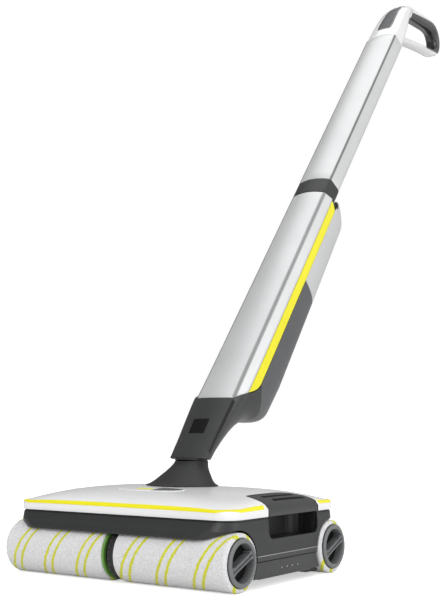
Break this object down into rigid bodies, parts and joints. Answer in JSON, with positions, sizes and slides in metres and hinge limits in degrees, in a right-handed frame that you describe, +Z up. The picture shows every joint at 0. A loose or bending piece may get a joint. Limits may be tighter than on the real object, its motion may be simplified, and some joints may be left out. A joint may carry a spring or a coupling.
{
  "type": "wet dry floor scrubber",
  "caption": "Upright floor scrubber: low head with roller brushes front and rear, swivelling neck, leaning stick with water tank, and a loop handle.",
  "frame": {"origin": "on the floor, under the middle of the whole object's box", "axes": "+Z up, -Y to the front of the head, +X to the machine's own right"},
  "size_m": [0.3004, 0.8661, 0.8773],
  "materials": {
    "white_gloss": "glossy moulded white",
    "silver_satin": "satin silver paint on a moulding",
    "charcoal_matte": "fine textured moulding",
    "tank_grey": "smooth dark grey moulding",
    "roller_grey": "fine textured moulding",
    "light_grey": "fine textured moulding",
    "yellow_gloss": "smooth yellow inlay",
    "fleece": "deep white microfibre pile",
    "roller_green": "smooth green tube",
    "soft_black": "matte moulded rubber",
    "cast_steel": "dark painted casting",
    "bright_steel": "turned steel",
    "gear_white": "natural acetal",
    "black_lens": "polished black",
    "board_green": "green laminate",
    "battery_black": "wrapped cells"
  },
  "bodies": {
    "head": {"top_cover": "white_gloss", "side_grip_left": "charcoal_matte", "side_grip_right": "charcoal_matte", "front_stripe": "yellow_gloss", "rear_stripe": "yellow_gloss", "lower_casing": "charcoal_matte", "grip_pocket_left": "charcoal_matte", "grip_pocket_right": "charcoal_matte", "chassis_frame": "cast_steel", "pivot_pin_left": "bright_steel", "pivot_pin_right": "bright_steel", "front_scraper": "soft_black", "rear_scraper": "soft_black", "drive_housing_left": "charcoal_matte", "drive_housing_right": "charcoal_matte", "front_belt": "soft_black", "rear_belt": "soft_black", "motor_can": "bright_steel", "neck_boot": "soft_black"},
    "front_drive": {"front_shaft": "bright_steel"},
    "rear_drive": {"rear_shaft": "bright_steel"},
    "front_gear": {"front_gear": "gear_white"},
    "rear_gear": {"rear_gear": "gear_white"},
    "motor_rotor": {"motor_pinion": "bright_steel"},
    "waste_tray": {"waste_tray": "tank_grey"},
    "cover_release": {"cover_release": "light_grey"},
    "knuckle": {"knuckle": "charcoal_matte", "swivel_clip": "bright_steel"},
    "stick": {"neck_casing": "charcoal_matte", "body_shell": "silver_satin", "side_stripe_left": "yellow_gloss", "side_stripe_right": "yellow_gloss", "back_cover": "silver_satin", "body_spine": "charcoal_matte", "battery_pack": "battery_black", "circuit_board": "board_green", "water_pump": "light_grey", "stick_collar": "charcoal_matte", "upper_tube": "silver_satin", "badge_plate": "black_lens", "handle_shell": "white_gloss", "grip_insert": "soft_black", "display_lens": "black_lens"},
    "fresh_tank": {"fresh_tank": "tank_grey"},
    "tank_cap": {"tank_cap": "soft_black"},
    "tank_latch": {"tank_latch": "light_grey"},
    "power_button": {"power_button": "light_grey"},
    "mode_button": {"mode_button": "light_grey"},
    "front_left_roller": {"front_left_roller_sleeve": "fleece", "front_left_roller_core": "roller_green", "front_left_roller_cap": "roller_grey"},
    "front_right_roller": {"front_right_roller_sleeve": "fleece", "front_right_roller_core": "roller_green", "front_right_roller_cap": "roller_grey"},
    "rear_left_roller": {"rear_left_roller_sleeve": "fleece", "rear_left_roller_core": "roller_green", "rear_left_roller_cap": "roller_grey"},
    "rear_right_roller": {"rear_right_roller_sleeve": "fleece", "rear_right_roller_core": "roller_green", "rear_right_roller_cap": "roller_grey"}
  },
  "joints": [
    {"name": "front_roller_spin", "type": "hinge", "parent": "head", "child": "front_drive", "pos_m": [0, -0.4045, 0.02834], "axis": [1, 0, 0], "continuous": true},
    {"name": "rear_roller_spin", "type": "hinge", "parent": "head", "child": "rear_drive", "pos_m": [0, -0.2265, 0.02834], "axis": [1, 0, 0], "continuous": true},
    {"name": "front_gear_spin", "type": "hinge", "parent": "head", "child": "front_gear", "pos_m": [0, -0.3275, 0.062], "axis": [1, 0, 0], "continuous": true},
    {"name": "rear_gear_spin", "type": "hinge", "parent": "head", "child": "rear_gear", "pos_m": [0, -0.3035, 0.062], "axis": [1, 0, 0], "continuous": true},
    {"name": "motor_spin", "type": "hinge", "parent": "head", "child": "motor_rotor", "pos_m": [0, -0.34309, 0.071], "axis": [1, 0, 0], "continuous": true},
    {"name": "front_left_roller_pull", "type": "slide", "parent": "front_drive", "child": "front_left_roller", "axis": [-1, 0, 0], "range_m": [0, 0.16]},
    {"name": "front_right_roller_pull", "type": "slide", "parent": "front_drive", "child": "front_right_roller", "axis": [1, 0, 0], "range_m": [0, 0.16]},
    {"name": "rear_left_roller_pull", "type": "slide", "parent": "rear_drive", "child": "rear_left_roller", "axis": [-1, 0, 0], "range_m": [0, 0.16]},
    {"name": "rear_right_roller_pull", "type": "slide", "parent": "rear_drive", "child": "rear_right_roller", "axis": [1, 0, 0], "range_m": [0, 0.16]},
    {"name": "waste_tray_slide", "type": "slide", "parent": "head", "child": "waste_tray", "axis": [1, 0, 0], "range_m": [0, 0.29]},
    {"name": "cover_release_press", "type": "slide", "parent": "head", "child": "cover_release", "axis": [0, 0, -1], "range_m": [0, 0.002], "stiffness_N_per_m": 600},
    {"name": "neck_pitch", "type": "hinge", "parent": "head", "child": "knuckle", "pos_m": [0, -0.3063, 0.0718], "axis": [-1, 0, 0], "range_deg": [-37.9, 18], "deforming": ["neck_boot"]},
    {"name": "neck_swivel", "type": "hinge", "parent": "knuckle", "child": "stick", "pos_m": [0, -0.2835, 0.121], "axis": [0, 0, 1], "range_deg": [-45, 45]},
    {"name": "tank_slide", "type": "slide", "parent": "stick", "child": "fresh_tank", "axis": [0, 0.6892, -0.7245], "range_m": [0, 0.06]},
    {"name": "tank_cap_hinge", "type": "hinge", "parent": "fresh_tank", "child": "tank_cap", "pos_m": [0, -0.05907, 0.29859], "axis": [1, 0, 0], "range_deg": [0, 120]},
    {"name": "tank_latch_slide", "type": "slide", "parent": "stick", "child": "tank_latch", "axis": [0, 0.6143, 0.7891], "range_m": [0, 0.0025], "stiffness_N_per_m": 200, "springref_m": -0.002},
    {"name": "power_button_press", "type": "slide", "parent": "stick", "child": "power_button", "axis": [0, 0.2324, -0.9726], "range_m": [0, 0.001], "stiffness_N_per_m": 400},
    {"name": "mode_button_press", "type": "slide", "parent": "stick", "child": "mode_button", "axis": [0, 0.6533, -0.7571], "range_m": [0, 0.001], "stiffness_N_per_m": 400}
  ],
  "couplings": [
    {"joint": "rear_roller_spin", "follows": "front_roller_spin", "ratio": -1},
    {"joint": "front_gear_spin", "follows": "front_roller_spin", "ratio": 1},
    {"joint": "rear_gear_spin", "follows": "front_roller_spin", "ratio": -1},
    {"joint": "motor_spin", "follows": "front_roller_spin", "ratio": -2}
  ]
}
